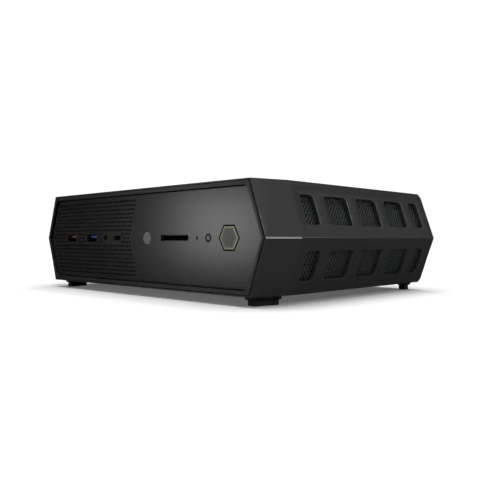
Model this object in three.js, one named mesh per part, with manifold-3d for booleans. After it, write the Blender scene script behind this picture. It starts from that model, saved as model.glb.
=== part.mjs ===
// A desktop mini PC with a six-sided cross-section: two ridged side shells with vent windows, a top
// and a bottom cover between them, a recessed front with a port panel and a plain fascia, and the
// boards, coolers and sockets inside.
// Millimetres. +X is the right of someone facing the front, -Y is the front, +Z is up.
// The origin is on the table, under the middle of the housing.
import * as THREE from "three";
import { mergeVertices } from "three/addons/utils/BufferGeometryUtils.js";
import { ConvexGeometry } from "three/addons/geometries/ConvexGeometry.js";
import Module from "manifold-3d";

const wasm = await Module();
wasm.setup();

// ---- driving dimensions ----
const WIDTH = 230; // across the side ridges
const DEPTH = 165.2;
const BODY_HEIGHT = 60.7; // without the feet
const FOOT_HEIGHT = 5.3;
const LEAN = 0.35; // how far a side leans in for each millimetre above or below its ridge
const NOSE_INSET = 5.8; // how far each side is drawn in at the front
const NOSE_DEPTH = 23; // the length over which the nose narrows
const REAR_CHAMFER = 2.5;
const WALL = 2.4;
const GAP = 0.3; // between pieces that touch

const FRONT = -DEPTH / 2;
const REAR = DEPTH / 2;
const NOSE_END = FRONT + NOSE_DEPTH;
const MID = FOOT_HEIGHT + BODY_HEIGHT / 2; // height of the ridges
const TOP = FOOT_HEIGHT + BODY_HEIGHT;
const SLOPE = Math.hypot(1, LEAN); // slant length of a side for each millimetre of height

const BEZEL_LIP = 0.8; // the casing's visible edge round the bezel
const BEZEL_DEPTH = 9;
const RECESS_HALF_HEIGHT = 27.1;
const RECESS_HALF_WIDTH = 96.6; // at the recess's top and bottom
const RECESS_LEAN = 0.37;
const PLATE_HALF_HEIGHT = 26.4; // leaves a dark gap above and below the port panel and fascia
const LEDGE = 1.9;
const FASCIA_FACE = FRONT + 1.9;
const GRILLE_FACE = FRONT + 2.2;
const PLATE_BACK = FRONT + 3.9;
const CHEVRON_X = -5.6; // where the fascia's pointed edge lies at ridge height
const CHEVRON_SLOPE = 0.31;

const WINDOW_LOW = 7.5; // slant distance of the windows' straight edge from the ridge
const WINDOW_HIGH = 24.6;
const WINDOWS = [
  [-53.5, -41.6],
  [-32.0, -10.8],
  [-0.9, 20.3],
  [30.2, 51.4],
  [60.8, 72.2],
];

const COVER_SEAM_X = 97; // where the top and bottom covers meet the side shells
const LEDGE_X = [86, 103]; // the side shells' inward ledges, which the covers are screwed to
const LEDGE_Y = [-70, 78];
const LEDGE_THICKNESS = 2.2;
const BOARD_Z = [13.4, 15.0];
const FAN_X = 52;
const FAN_Y = -4;
const BLOWER_Z = [24, 50];
const SHORT_TURN = 16; // sides of a small round
const LONG_TURN = 32;

// ---- solids ----
function solid(geometry) {
  const bare = geometry.index ? geometry.toNonIndexed() : geometry.clone();
  const positions = new THREE.BufferGeometry();
  positions.setAttribute("position", bare.getAttribute("position"));
  const merged = mergeVertices(positions, 1e-4);
  return new wasm.Manifold(
    new wasm.Mesh({
      numProp: 3,
      vertProperties: new Float32Array(merged.attributes.position.array),
      triVerts: new Uint32Array(merged.index.array),
    }),
  );
}

function geometryOf(manifold) {
  const mesh = manifold.getMesh();
  const geometry = new THREE.BufferGeometry();
  geometry.setAttribute("position", new THREE.BufferAttribute(mesh.vertProperties, 3));
  geometry.setIndex(new THREE.BufferAttribute(mesh.triVerts, 1));
  return geometry;
}

function cut(base, ...tools) {
  return geometryOf(tools.reduce((rest, tool) => rest.subtract(solid(tool)), solid(base)));
}

function join(base, ...pieces) {
  return geometryOf(pieces.reduce((sum, piece) => sum.add(solid(piece)), solid(base)));
}

function box([x0, x1], [y0, y1], [z0, z1]) {
  const geometry = new THREE.BoxGeometry(x1 - x0, y1 - y0, z1 - z0);
  return geometry.translate((x0 + x1) / 2, (y0 + y1) / 2, (z0 + z1) / 2);
}

// A box given by its middle and its size across X and Z, between two depths.
function block(x, z, width, height, [y0, y1]) {
  return box([x - width / 2, x + width / 2], [y0, y1], [z - height / 2, z + height / 2]);
}

function upright(radius, x, y, [z0, z1], sides = SHORT_TURN) {
  const geometry = new THREE.CylinderGeometry(radius, radius, z1 - z0, sides);
  return geometry.rotateX(Math.PI / 2).translate(x, y, (z0 + z1) / 2);
}

function lyingAlongY(radius, x, z, [y0, y1], sides = SHORT_TURN) {
  const geometry = new THREE.CylinderGeometry(radius, radius, y1 - y0, sides);
  return geometry.translate(x, (y0 + y1) / 2, z);
}

// An outline in X and Z, drawn through from one depth to another.
function prismY(shape, [y0, y1], curveSegments = 6) {
  const geometry = new THREE.ExtrudeGeometry(shape, {
    depth: y1 - y0,
    bevelEnabled: false,
    curveSegments,
  });
  const lay = new THREE.Matrix4().makeBasis(
    new THREE.Vector3(1, 0, 0),
    new THREE.Vector3(0, 0, 1),
    new THREE.Vector3(0, -1, 0),
  );
  return geometry.applyMatrix4(lay).translate(0, y1, 0);
}

function prismZ(shape, [z0, z1], curveSegments = 6) {
  const geometry = new THREE.ExtrudeGeometry(shape, {
    depth: z1 - z0,
    bevelEnabled: false,
    curveSegments,
  });
  return geometry.translate(0, 0, z0);
}

function polygon(points) {
  return new THREE.Shape(points.map(([u, v]) => new THREE.Vector2(u, v)));
}

function roundedRectangle(u, v, width, height, radius) {
  const [left, right, low, high] = [u - width / 2, u + width / 2, v - height / 2, v + height / 2];
  const shape = new THREE.Shape();
  shape.moveTo(left + radius, low);
  shape.lineTo(right - radius, low);
  shape.absarc(right - radius, low + radius, radius, -Math.PI / 2, 0);
  shape.lineTo(right, high - radius);
  shape.absarc(right - radius, high - radius, radius, 0, Math.PI / 2);
  shape.lineTo(left + radius, high);
  shape.absarc(left + radius, high - radius, radius, Math.PI / 2, Math.PI);
  shape.lineTo(left, low + radius);
  shape.absarc(left + radius, low + radius, radius, Math.PI, Math.PI * 1.5);
  return shape;
}

// A regular hexagon with corners to the left and right.
function hexagon(u, v, cornerRadius) {
  const corners = [];
  for (let i = 0; i < 6; i += 1) {
    const angle = (i * Math.PI) / 3;
    corners.push([u + cornerRadius * Math.cos(angle), v + cornerRadius * Math.sin(angle)]);
  }
  return polygon(corners);
}

// The same solid on the other side of x = 0 or of another upright or level plane.
function mirrored(geometry, axis, at = 0) {
  const copy = geometry.index ? geometry.toNonIndexed() : geometry.clone();
  const positions = copy.getAttribute("position");
  for (let i = 0; i < positions.count; i += 1) {
    positions.setComponent(i, axis, 2 * at - positions.getComponent(i, axis));
  }
  for (let i = 0; i < positions.count; i += 3) {
    for (let k = 0; k < 3; k += 1) {
      const kept = positions.getComponent(i + 1, k);
      positions.setComponent(i + 1, k, positions.getComponent(i + 2, k));
      positions.setComponent(i + 2, k, kept);
    }
  }
  return copy;
}

// ---- the housing's six-sided form ----
function noseInset(y) {
  return NOSE_INSET * Math.min(1, Math.max(0, (NOSE_END - y) / NOSE_DEPTH));
}

function halfWidthAt(y, z, offset = 0) {
  return WIDTH / 2 - noseInset(y) - offset * SLOPE - LEAN * Math.abs(z - MID);
}

// The housing's form, drawn in by offset all round, between two depths.
function sixSided(offset, [y0, y1], rearChamfer = 0) {
  const half = BODY_HEIGHT / 2 - offset;
  const stations = [
    [y0, half],
    [y1 - rearChamfer, half],
    [y1, half - rearChamfer],
  ];
  if (y0 < NOSE_END && y1 > NOSE_END) stations.push([NOSE_END, half]);
  const points = [];
  for (const [y, high] of stations) {
    for (const side of [-1, 1]) {
      for (const z of [MID - high, MID, MID + high]) {
        points.push(new THREE.Vector3(side * halfWidthAt(y, z, offset), y, z));
      }
    }
  }
  return new ConvexGeometry(points);
}

// The slot cut by one window through the right side's upper half.
function windowCutter([y0, y1]) {
  const outer = 2.8;
  const inner = 0.9;
  const shape = new THREE.Shape();
  shape.moveTo(y0 + inner, WINDOW_LOW);
  shape.lineTo(y1 - inner, WINDOW_LOW);
  shape.absarc(y1 - inner, WINDOW_LOW + inner, inner, -Math.PI / 2, 0);
  shape.lineTo(y1, WINDOW_HIGH - outer);
  shape.absarc(y1 - outer, WINDOW_HIGH - outer, outer, 0, Math.PI / 2);
  shape.lineTo(y0 + outer, WINDOW_HIGH);
  shape.absarc(y0 + outer, WINDOW_HIGH - outer, outer, Math.PI / 2, Math.PI);
  shape.lineTo(y0, WINDOW_LOW + inner);
  shape.absarc(y0 + inner, WINDOW_LOW + inner, inner, Math.PI, Math.PI * 1.5);
  const reach = 4;
  const geometry = new THREE.ExtrudeGeometry(shape, {
    depth: 2 * reach,
    bevelEnabled: false,
    curveSegments: 4,
  });
  const lay = new THREE.Matrix4().makeBasis(
    new THREE.Vector3(0, 1, 0),
    new THREE.Vector3(-LEAN, 0, 1).normalize(),
    new THREE.Vector3(1, 0, LEAN).normalize(),
  );
  return geometry.translate(0, 0, -reach).applyMatrix4(lay).translate(WIDTH / 2, 0, MID);
}

function allFourWays(geometry) {
  const left = mirrored(geometry, 0);
  return [geometry, left, mirrored(geometry, 2, MID), mirrored(left, 2, MID)];
}

const BOARD_POSTS = [-50, 50].flatMap((y) => [-81, 81].map((x) => [x, y]));
const COVER_SCREWS = [-48, 48].flatMap((y) => [-91.5, 91.5].map((x) => [x, y]));

// The casing's wall all round, open at the front and the rear, before it is parted into covers.
function sleeve() {
  return cut(
    sixSided(0, [FRONT, REAR], REAR_CHAMFER),
    sixSided(WALL, [FRONT - 1, REAR + 1]),
    sixSided(BEZEL_LIP, [FRONT - 1, FRONT + BEZEL_DEPTH + GAP]),
    box([-WIDTH, WIDTH], [FRONT - 1, FRONT + 0.35], [0, TOP + 1]),
  );
}

function within(geometry, region) {
  return geometryOf(solid(geometry).intersect(solid(region)));
}

function rightShell() {
  const wall = within(sleeve(), box([COVER_SEAM_X + GAP / 2, WIDTH], [FRONT - 1, REAR + 1], [0, TOP + 1]));
  const floor = FOOT_HEIGHT + WALL + GAP;
  const ceiling = TOP - WALL - GAP;
  const ledges = [
    box(LEDGE_X, LEDGE_Y, [floor, floor + LEDGE_THICKNESS]),
    box(LEDGE_X, LEDGE_Y, [ceiling - LEDGE_THICKNESS, ceiling]),
  ];
  const screwHoles = COVER_SCREWS.map(([x, y]) => upright(1.6, x, y, [floor - 1, floor + 3]));
  const windows = WINDOWS.flatMap((window) => allFourWays(windowCutter(window)));
  return cut(join(wall, ...ledges), ...screwHoles, ...windows);
}

function cover(heights) {
  const x = COVER_SEAM_X - GAP / 2;
  return within(sleeve(), box([-x, x], [FRONT - 1, REAR + 1], heights));
}

function bottomCover() {
  const inside = FOOT_HEIGHT + WALL;
  const posts = BOARD_POSTS.map(([x, y]) => upright(2.6, x, y, [inside - 0.5, BOARD_Z[0] - GAP]));
  const holes = COVER_SCREWS.flatMap(([x, y]) => [
    upright(1.75, x, y, [FOOT_HEIGHT - 1, inside + 1]),
    upright(3.1, x, y, [FOOT_HEIGHT - 1, FOOT_HEIGHT + 1]),
  ]);
  return cut(join(cover([0, MID]), ...posts), ...holes);
}

// ---- the front ----
// The recess's outline, drawn in by inset: six-sided with small cut corners.
function recessOutline(inset) {
  const high = RECESS_HALF_HEIGHT - inset;
  const slant = Math.hypot(1, RECESS_LEAN);
  const wide = (z) => RECESS_HALF_WIDTH + RECESS_LEAN * (RECESS_HALF_HEIGHT - Math.abs(z)) - inset * slant;
  const corner = 1.8;
  const right = [
    [wide(high) - corner, -high],
    [wide(high - corner), -high + corner],
    [wide(0), 0],
    [wide(high - corner), high - corner],
    [wide(high) - corner, high],
  ];
  const left = right.map(([x, z]) => [-x, z]).reverse();
  return [...right, ...left].map(([x, z]) => [x, z + MID]);
}

function frontBezel() {
  return cut(
    sixSided(BEZEL_LIP + GAP, [FRONT, FRONT + BEZEL_DEPTH]),
    prismY(polygon(recessOutline(0)), [FRONT - 1, PLATE_BACK + GAP]),
    prismY(polygon(recessOutline(LEDGE)), [PLATE_BACK, FRONT + BEZEL_DEPTH + 1]),
  );
}

// The half of the recess to one side of the pointed seam.
function seamSide(side, clearance) {
  const seam = (z) => CHEVRON_X + side * clearance + CHEVRON_SLOPE * Math.abs(z - MID);
  const far = side * WIDTH;
  const [low, high] = [MID - PLATE_HALF_HEIGHT, MID + PLATE_HALF_HEIGHT];
  return polygon([
    [seam(low), low],
    [seam(MID), MID],
    [seam(high), high],
    [far, high],
    [far, low],
  ]);
}

function frontPlate(side, face, clearance) {
  const depths = [face, PLATE_BACK];
  const whole = solid(prismY(polygon(recessOutline(GAP)), depths));
  return geometryOf(whole.intersect(solid(prismY(seamSide(side, clearance), [face - 1, PLATE_BACK + 1]))));
}

const FRONT_USB_X = [-78.85, -52.4];
const HEADSET_X = -35.4;
const FRONT_USB_C_X = -21.5;
const BADGE_X = 10.8;
const CARD_SLOT_X = 36.7;
const ACTIVITY_X = 56.6;
const STATUS_X = 65.8;
const BUTTON_X = 82.0;
const THROUGH_PLATE = [FRONT, PLATE_BACK + 1];
const USB_MOUTH = [12.6, 5.2];
const USB_C_MOUTH = [8.7, 3.0];

function portGrille() {
  return cut(
    frontPlate(-1, GRILLE_FACE, GAP / 2),
    ...FRONT_USB_X.map((x) => block(x, MID, ...USB_MOUTH, THROUGH_PLATE)),
    lyingAlongY(1.85, HEADSET_X, MID, THROUGH_PLATE),
    prismY(roundedRectangle(FRONT_USB_C_X, MID, ...USB_C_MOUTH, 1.45), THROUGH_PLATE, 4),
  );
}

function frontFascia() {
  return cut(
    frontPlate(1, FASCIA_FACE, GAP / 2),
    prismY(hexagon(BADGE_X, MID, 4.8), THROUGH_PLATE),
    block(CARD_SLOT_X, MID, 24.9, 3.4, THROUGH_PLATE),
    lyingAlongY(0.95, ACTIVITY_X, MID, THROUGH_PLATE, 12),
    lyingAlongY(2.3, STATUS_X, MID, THROUGH_PLATE),
    prismY(hexagon(BUTTON_X, MID, 7.9), THROUGH_PLATE),
  );
}

function powerButton() {
  const face = FASCIA_FACE - 0.2;
  return join(
    prismY(hexagon(BUTTON_X, MID, 7.1), [face, PLATE_BACK + GAP + 0.1]),
    prismY(hexagon(BUTTON_X, MID, 8.6), [PLATE_BACK + GAP, PLATE_BACK + 1.3]),
    lyingAlongY(1.6, BUTTON_X, MID, [PLATE_BACK + 1, PLATE_BACK + 4]),
  );
}

// ---- sockets ----
// A connector's metal shell, open at its mouth, with the contact tongue inside. toward is -1 when
// the mouth faces the front and 1 when it faces the rear.
function socket({ x, z, outer, mouth, cavityDepth, length, mouthY, toward, tongue }) {
  const span = (near, far) => {
    const ends = [mouthY - toward * near, mouthY - toward * far];
    return [Math.min(...ends), Math.max(...ends)];
  };
  const shell = cut(block(x, z, ...outer, span(0, length)), block(x, z, ...mouth, span(-1, cavityDepth)));
  if (!tongue) return shell;
  const [width, thickness, lift, setBack] = tongue;
  return join(shell, block(x, z + lift, width, thickness, span(setBack, cavityDepth + 0.5)));
}

const FRONT_MOUTH_Y = PLATE_BACK + 0.4;
const REAR_MOUTH_Y = REAR - 0.8;
const USB_A = {
  outer: [14.2, 6.6],
  mouth: [12.5, 5.1],
  cavityDepth: 11,
  length: 14,
  tongue: [11.2, 1.8, 1.2, 1.2],
};
const USB_C = {
  outer: [9.8, 4.2],
  mouth: [8.4, 2.6],
  cavityDepth: 8,
  length: 10,
  tongue: [6.7, 0.7, 0, 1.0],
};
const HDMI = {
  outer: [15.4, 6],
  mouth: [14, 4.6],
  cavityDepth: 9,
  length: 12,
  tongue: [11.5, 1.2, 0, 1.2],
};
const DISPLAY_PORT = {
  outer: [17, 6.2],
  mouth: [15.6, 4.8],
  cavityDepth: 9,
  length: 12,
  tongue: [12.5, 1.2, 0, 1.2],
};
const CARD_READER = { outer: [28, 5], mouth: [24.7, 2.5], cavityDepth: 22, length: 24 };
const REAR_PORT_Z = BOARD_Z[1] + GAP;

function frontSocket(kind, x) {
  return socket({ ...kind, x, z: MID, mouthY: FRONT_MOUTH_Y, toward: -1 });
}

function rearSocket(kind, x) {
  return socket({ ...kind, x, z: REAR_PORT_Z + 3.4, mouthY: REAR_MOUTH_Y, toward: 1 });
}

function headsetJack() {
  return cut(
    block(HEADSET_X, MID, 7, 6.6, [FRONT_MOUTH_Y, FRONT_MOUTH_Y + 13]),
    lyingAlongY(1.75, HEADSET_X, MID, [FRONT_MOUTH_Y - 1, FRONT_MOUTH_Y + 12]),
  );
}

function frontBoard() {
  const z = [MID - 5.4, MID - 3.8];
  const board = box([-92, 92], [FRONT_MOUTH_Y, FRONT_MOUTH_Y + 14], z);
  return cut(board, box([BUTTON_X - 10, 93], [FRONT_MOUTH_Y - 1, PLATE_BACK + 3.2], [z[0] - 1, z[1] + 1]));
}

// Two USB sockets, one above the other, in one metal shell.
function usbStack(x) {
  const z = REAR_PORT_Z + 7.8;
  const span = [REAR_MOUTH_Y - 11, REAR_MOUTH_Y + 1];
  const shell = block(x, z, 14.2, 15.6, [REAR_MOUTH_Y - 17, REAR_MOUTH_Y]);
  const levels = [z - 3.9, z + 3.9];
  const hollow = cut(shell, ...levels.map((level) => block(x, level, 12.5, 5.1, span)));
  const tongueSpan = [span[0] - 0.5, REAR_MOUTH_Y - 1.2];
  const tongues = levels.map((level) => block(x, level + 1.2, 11.2, 1.8, tongueSpan));
  return join(hollow, ...tongues);
}

function ethernetJack(x) {
  const z = REAR_PORT_Z + 6.75;
  const span = [REAR_MOUTH_Y - 13, REAR_MOUTH_Y + 1];
  return cut(
    block(x, z, 16, 13.5, [REAR_MOUTH_Y - 18, REAR_MOUTH_Y]),
    block(x, z + 0.6, 11.8, 7.4, span),
    block(x, z - 3.6, 6.2, 2.4, span),
  );
}

function powerInlet(x) {
  const z = REAR_PORT_Z + 5.5;
  const barrel = cut(
    block(x, z, 13, 11, [REAR_MOUTH_Y - 15, REAR_MOUTH_Y]),
    lyingAlongY(3.8, x, z, [REAR_MOUTH_Y - 11, REAR_MOUTH_Y + 1]),
  );
  return join(barrel, lyingAlongY(0.6, x, z, [REAR_MOUTH_Y - 11.5, REAR_MOUTH_Y - 2], 8));
}

// ---- the rear ----
const REAR_PANEL_Y = [REAR - 2.9, REAR - 1.1];
const REAR_PORTS = {
  inlet: 80,
  ethernet: 60,
  hdmi: 40,
  displayPort: [20, 0],
  usbC: -17,
  usbStacks: [-36, -58],
  lock: -82,
};
const SLOT = { width: 3, height: 18, pitch: 6, z: 47, count: 14, firstX: 10.5 };

function rearPanel() {
  const through = [REAR_PANEL_Y[0] - 1, REAR_PANEL_Y[1] + 1];
  const holes = [
    block(REAR_PORTS.inlet, REAR_PORT_Z + 5.5, 13 + 2 * GAP, 11 + 2 * GAP, through),
    block(REAR_PORTS.ethernet, REAR_PORT_Z + 6.75, 16 + 2 * GAP, 13.5 + 2 * GAP, through),
    block(REAR_PORTS.hdmi, REAR_PORT_Z + 3.4, 15.4 + 2 * GAP, 6 + 2 * GAP, through),
    block(REAR_PORTS.usbC, REAR_PORT_Z + 3.4, 9.8 + 2 * GAP, 4.2 + 2 * GAP, through),
    block(REAR_PORTS.lock, REAR_PORT_Z + 6, 7, 3, through),
  ];
  for (const x of REAR_PORTS.displayPort) {
    holes.push(block(x, REAR_PORT_Z + 3.4, 17 + 2 * GAP, 6.2 + 2 * GAP, through));
  }
  for (const x of REAR_PORTS.usbStacks) {
    holes.push(block(x, REAR_PORT_Z + 7.8, 14.2 + 2 * GAP, 15.6 + 2 * GAP, through));
  }
  for (let i = 0; i < SLOT.count; i += 1) {
    for (const side of [-1, 1]) {
      holes.push(block(side * (SLOT.firstX + i * SLOT.pitch), SLOT.z, SLOT.width, SLOT.height, through));
    }
  }
  return cut(sixSided(WALL + GAP, REAR_PANEL_Y), ...holes);
}

// ---- screws, feet and side meshes ----
function coverScrew([x, y]) {
  const headTop = FOOT_HEIGHT + 0.7;
  const screw = join(
    upright(2.8, x, y, [FOOT_HEIGHT - 0.2, headTop]),
    upright(1.4, x, y, [headTop - 0.1, FOOT_HEIGHT + 6]),
  );
  const arm = 1.5;
  const slot = [FOOT_HEIGHT - 1, FOOT_HEIGHT + 0.4];
  return cut(
    screw,
    box([x - arm, x + arm], [y - 0.35, y + 0.35], slot),
    box([x - 0.35, x + 0.35], [y - arm, y + arm], slot),
  );
}

// The right side's feet, from above: a slanted bar that follows the nose, and a small wedge near the
// rear corner.
const FRONT_FOOT = [
  [89.4, -74.5],
  [94.4, -74.5],
  [98.5, -59.6],
  [92.9, -59.6],
];
const REAR_FOOT = [
  [94.3, 73.0],
  [98.1, 73.0],
  [98.1, 78.6],
  [90.5, 78.6],
];

// A foot's block under a slightly wider flange.
function foot(corners) {
  const middleX = corners.reduce((sum, [x]) => sum + x, 0) / corners.length;
  const middleY = corners.reduce((sum, [, y]) => sum + y, 0) / corners.length;
  const grow = 1.1;
  const outward = (value, middle) => value + grow * Math.sign(value - middle);
  const grown = corners.map(([x, y]) => [outward(x, middleX), outward(y, middleY)]);
  const flange = prismZ(polygon(grown), [FOOT_HEIGHT - 2, FOOT_HEIGHT - GAP]);
  return join(prismZ(polygon(corners), [0, FOOT_HEIGHT - 1]), flange);
}

function sideMesh() {
  const [near, far] = [WALL + GAP, WALL + GAP + 0.8];
  const reach = 24.6;
  const edge = (offset, z) => [halfWidthAt(0, MID + z, offset), MID + z];
  const shape = polygon([
    edge(near, -reach),
    edge(near, 0),
    edge(near, reach),
    edge(far, reach),
    edge(far, 0),
    edge(far, -reach),
  ]);
  return prismY(shape, [-57, 77]);
}

// ---- cooling ----
function blowerHousing() {
  const [low, high] = BLOWER_Z;
  const outer = box([FAN_X - 43, FAN_X + 43], [FAN_Y - 40, FAN_Y + 51], BLOWER_Z);
  return cut(
    outer,
    upright(38, FAN_X, FAN_Y, [low + 1.5, high - 1.5], LONG_TURN),
    box([FAN_X - 38, FAN_X + 38], [FAN_Y, FAN_Y + 52], [low + 1.5, high - 1.5]),
    upright(26, FAN_X, FAN_Y, [high - 3, high + 1], LONG_TURN),
  );
}

const ROTOR_Z = [BLOWER_Z[0] + 3, BLOWER_Z[1] - 4];

function fanRotor() {
  const [low, high] = ROTOR_Z;
  const ring = (outer, inner, [z0, z1]) =>
    cut(upright(outer, 0, 0, [z0, z1], LONG_TURN), upright(inner, 0, 0, [z0 - 1, z1 + 1], LONG_TURN));
  const cap = upright(14, 0, 0, [high - 2, high], LONG_TURN);
  const hub = join(ring(14, 12, [low, high]), cap);
  const blades = [];
  const count = 17;
  for (let i = 0; i < count; i += 1) {
    const blade = box([13.4, 35], [-0.5, 0.5], [low + 2, high - 1]);
    blade.translate(0, -4, 0).rotateZ((i * 2 * Math.PI) / count);
    blades.push(blade);
  }
  return join(hub, ring(35, 13, [low + 1, low + 2.2]), ...blades).translate(FAN_X, FAN_Y, 0);
}

function fanStator() {
  return upright(9, FAN_X, FAN_Y, [BLOWER_Z[0] + 1.5 + GAP, ROTOR_Z[1] - 3], LONG_TURN);
}

function finStack() {
  const z = [BLOWER_Z[0], 58];
  const [first, last] = [FAN_X - 42, FAN_X + 42];
  const fins = [];
  for (let x = first; x <= last; x += 4.2) fins.push(box([x - 0.4, x + 0.4], [50, 62], z));
  return join(box([first - 0.4, last + 0.4], [50, 62], [z[0], z[0] + 1.4]), ...fins);
}

function heatPipe() {
  const line = new THREE.CatmullRomCurve3([
    new THREE.Vector3(16, -20, 21.8),
    new THREE.Vector3(22, 14, 21.8),
    new THREE.Vector3(42, 40, 20.6),
    new THREE.Vector3(84, 56, 20.6),
  ]);
  const section = new THREE.Shape();
  section.absarc(0, 0, 2, 0, 2 * Math.PI);
  return new THREE.ExtrudeGeometry(section, {
    steps: 12,
    curveSegments: 8,
    extrudePath: line,
    bevelEnabled: false,
  });
}

// ---- boards and modules ----
function mainBoard() {
  const board = box([-88, 88], [-57, 79], BOARD_Z);
  return cut(board, box([-9, 9], [-58, -44], [12, 16]));
}

const MEMORY_Y = [-48, 0];
const DRIVE_Y = [-40, -6];

function memorySocket(y) {
  const body = box([-76, -4], [y, y + 8], [8.2, BOARD_Z[0] - GAP]);
  return cut(body, box([-74.3, -5.7], [y + 3.5, y + 9], [9.0, 10.8]));
}

function memoryModule(y) {
  const board = box([-73.8, -6.2], [y + 4, y + 34], [9.3, 10.5]);
  const chips = [-71, -54.5, -38, -21.5].map((x) => box([x, x + 12], [y + 14, y + 28], [10.3, 11.5]));
  return join(board, ...chips);
}

function driveModule(y) {
  const board = box([6, 76], [y, y + 22], [9.4, 10.2]);
  const chips = [12, 34, 56].map((x) => box([x, x + 14], [y + 3, y + 19], [10.0, 11.6]));
  return join(board, ...chips);
}

// ---- materials ----
function finish(color, roughness, metalness = 0) {
  return new THREE.MeshStandardMaterial({ color, roughness, metalness });
}

const shellPlastic = finish(0x2b2b2c, 0.5);
const bezelPlastic = finish(0x333334, 0.45);
const fasciaPlastic = finish(0x39393a, 0.35);
const grillePlastic = finish(0x1e1e1f, 0.55);
const badgeMetal = finish(0x77777a, 0.4, 0.6);
const lens = finish(0x8c8c90, 0.2);
const meshMetal = finish(0x2f3232, 0.45, 0.5);
const rubber = finish(0x101011, 0.85);
const steel = finish(0xa9abad, 0.35, 1);
const darkSteel = finish(0x2a2a2c, 0.4, 0.8);
const circuitBoard = finish(0x10241c, 0.6);
const chipBlack = finish(0x18181a, 0.5);
const copper = finish(0xb06a3c, 0.35, 1);
const aluminium = finish(0xb4b7ba, 0.4, 1);
const fanPlastic = finish(0x141415, 0.55);
const contactPlastic = finish(0x1b1b1d, 0.5);

const machine = new THREE.Group();

function add(name, geometry, material) {
  const mesh = new THREE.Mesh(geometry, material);
  mesh.name = name;
  machine.add(mesh);
  return mesh;
}

function addPair(name, geometry, material) {
  add(name + "_right", geometry, material);
  add(name + "_left", mirrored(geometry, 0), material);
}

// Casing
addPair("side_shell", rightShell(), shellPlastic);
add("front_bezel", frontBezel(), bezelPlastic);
add("port_grille", portGrille(), grillePlastic);
add("front_fascia", frontFascia(), fasciaPlastic);
add("top_cover", cover([MID, TOP + 1]), shellPlastic);
add("bottom_cover", bottomCover(), shellPlastic);
add("rear_panel", rearPanel(), darkSteel);
addPair("side_mesh", sideMesh(), meshMetal);
addPair("foot_front", foot(FRONT_FOOT), rubber);
addPair("foot_rear", foot(REAR_FOOT), rubber);
COVER_SCREWS.forEach((place, i) => add("cover_screw_" + (i + 1), coverScrew(place), darkSteel));

// Front controls and lights
add("power_button", powerButton(), badgeMetal);
add("hex_badge", prismY(hexagon(BADGE_X, MID, 4.4), [FASCIA_FACE - 0.1, PLATE_BACK]), badgeMetal);
add("status_lens", lyingAlongY(1.8, STATUS_X, MID, [FASCIA_FACE, PLATE_BACK]), lens);
add("activity_lens", lyingAlongY(0.6, ACTIVITY_X, MID, [FASCIA_FACE, PLATE_BACK], 12), lens);
add("power_switch", block(BUTTON_X, MID, 7, 7, [PLATE_BACK + 5.2, PLATE_BACK + 9]), chipBlack);

// Front sockets on their own board
FRONT_USB_X.forEach((x, i) => add("usb_port_front_" + (i + 1), frontSocket(USB_A, x), steel));
add("usb_c_port_front", frontSocket(USB_C, FRONT_USB_C_X), steel);
add("headset_jack", headsetJack(), contactPlastic);
add("card_reader", frontSocket(CARD_READER, CARD_SLOT_X), steel);
add("front_board", frontBoard(), circuitBoard);

// Rear sockets on the main board
add("ethernet_jack", ethernetJack(REAR_PORTS.ethernet), steel);
add("power_inlet", powerInlet(REAR_PORTS.inlet), contactPlastic);
add("hdmi_port", rearSocket(HDMI, REAR_PORTS.hdmi), steel);
REAR_PORTS.displayPort.forEach((x, i) => add("display_port_" + (i + 1), rearSocket(DISPLAY_PORT, x), steel));
add("usb_c_port_rear", rearSocket(USB_C, REAR_PORTS.usbC), steel);
REAR_PORTS.usbStacks.forEach((x, i) => add("usb_stack_rear_" + (i + 1), usbStack(x), steel));

// Main board, modules and cooling
add("main_board", mainBoard(), circuitBoard);
add("processor", box([-36, -8], [-24, 16], [15.3, 17.2]), chipBlack);
add("graphics_chip", box([8, 44], [-22, 14], [15.3, 17.2]), chipBlack);
add("heat_spreader", box([-66, 66], [-30, 24], [17.5, 19.4]), copper);
addPair("heat_pipe", heatPipe(), copper);
addPair("fin_stack", finStack(), aluminium);
addPair("blower_housing", blowerHousing(), fanPlastic);
addPair("fan_rotor", fanRotor(), fanPlastic);
addPair("fan_stator", fanStator(), copper);
MEMORY_Y.forEach((y, i) => {
  add("memory_socket_" + (i + 1), memorySocket(y), contactPlastic);
  add("memory_module_" + (i + 1), memoryModule(y), circuitBoard);
});
DRIVE_Y.forEach((y, i) => add("solid_state_drive_" + (i + 1), driveModule(y), circuitBoard));
add("wireless_card", box([-84, -62], [-54, -34], [15.3, 17.4]), steel);
add("coin_cell", upright(10, 76, -46, [15.3, 18.5], LONG_TURN), steel);

export default machine;
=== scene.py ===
import math

import bmesh
import bpy
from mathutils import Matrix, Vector


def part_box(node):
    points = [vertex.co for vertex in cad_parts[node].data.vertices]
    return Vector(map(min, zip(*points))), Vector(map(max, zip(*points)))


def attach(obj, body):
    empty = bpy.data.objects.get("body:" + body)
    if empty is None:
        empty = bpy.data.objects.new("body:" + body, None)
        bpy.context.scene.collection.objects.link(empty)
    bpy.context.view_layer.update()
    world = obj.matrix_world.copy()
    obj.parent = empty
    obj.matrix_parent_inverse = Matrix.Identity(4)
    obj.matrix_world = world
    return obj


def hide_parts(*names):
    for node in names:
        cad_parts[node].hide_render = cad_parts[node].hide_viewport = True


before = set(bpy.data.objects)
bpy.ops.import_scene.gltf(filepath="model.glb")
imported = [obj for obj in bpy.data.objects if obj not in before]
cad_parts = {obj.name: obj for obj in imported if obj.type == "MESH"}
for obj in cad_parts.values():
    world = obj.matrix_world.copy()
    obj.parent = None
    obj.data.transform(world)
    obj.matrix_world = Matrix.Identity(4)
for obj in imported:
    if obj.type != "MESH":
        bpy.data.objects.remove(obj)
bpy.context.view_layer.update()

MM = 0.001
HOUSING_LOW, HOUSING_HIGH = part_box("side_shell_right")
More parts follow.
